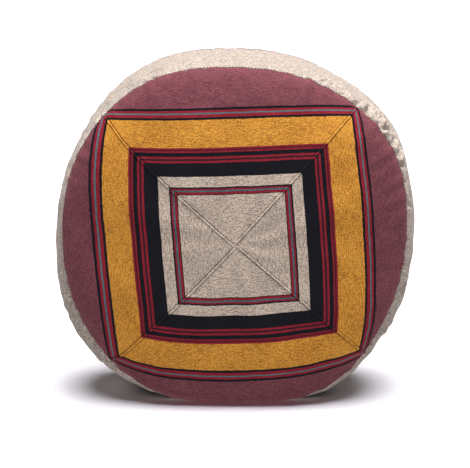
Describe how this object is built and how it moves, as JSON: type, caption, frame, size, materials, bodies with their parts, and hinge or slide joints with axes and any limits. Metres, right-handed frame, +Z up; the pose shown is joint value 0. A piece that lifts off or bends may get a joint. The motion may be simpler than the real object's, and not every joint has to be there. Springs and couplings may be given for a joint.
{
  "type": "floor cushion",
  "caption": "Round boxed floor cushion with domed mitred striped faces, a tweed side band and a zipped cover, standing on its edge.",
  "frame": {"origin": "On the floor, under the middle of the cushion as it stands on its edge.", "axes": "+Z up, +Y from the front face to the back face, +X to the right as the front face is seen. The cushion's round axis is the Y direction, 0.2235 m above the floor."},
  "size_m": [0.4599, 0.2144, 0.4535],
  "materials": {
    "striped_cloth": "woven cotton, striped in plum, navy, red, mustard and beige",
    "band_tweed": "oatmeal tweed",
    "liner_cloth": "plain calico",
    "filling_fibre": "polyester fibre",
    "zip_tape": "woven polyester tape",
    "zip_teeth": "nylon coil",
    "zip_metal": "plated zinc, antique brass colour"
  },
  "bodies": {
    "cushion": {"front_panel_top": "striped_cloth", "front_panel_right": "striped_cloth", "front_panel_bottom": "striped_cloth", "front_panel_left": "striped_cloth", "back_panel_top": "striped_cloth", "back_panel_right": "striped_cloth", "back_panel_bottom": "striped_cloth", "back_panel_left": "striped_cloth", "side_band": "band_tweed", "zip_facing_front": "band_tweed", "zip_facing_back": "band_tweed", "zip_tape_front": "zip_tape", "zip_tape_back": "zip_tape", "zip_teeth_front": "zip_teeth", "zip_teeth_back": "zip_teeth", "zip_top_stop_front": "zip_metal", "zip_top_stop_back": "zip_metal", "zip_bottom_stop": "zip_metal", "liner_front": "liner_cloth", "liner_back": "liner_cloth", "liner_band": "liner_cloth", "filling": "filling_fibre"},
    "zip_slider": {"zip_slider": "zip_metal"},
    "zip_pull": {"zip_pull": "zip_metal"}
  },
  "joints": [
    {"name": "zip_slide", "type": "hinge", "parent": "cushion", "child": "zip_slider", "pos_m": [0, 0, 0.2235], "axis": [0, -1, 0], "range_deg": [0, 65]},
    {"name": "pull_swing", "type": "hinge", "parent": "zip_slider", "child": "zip_pull", "pos_m": [0.14013, 0, 0.03866], "axis": [0, 1, 0], "range_deg": [-125, 50]}
  ]
}
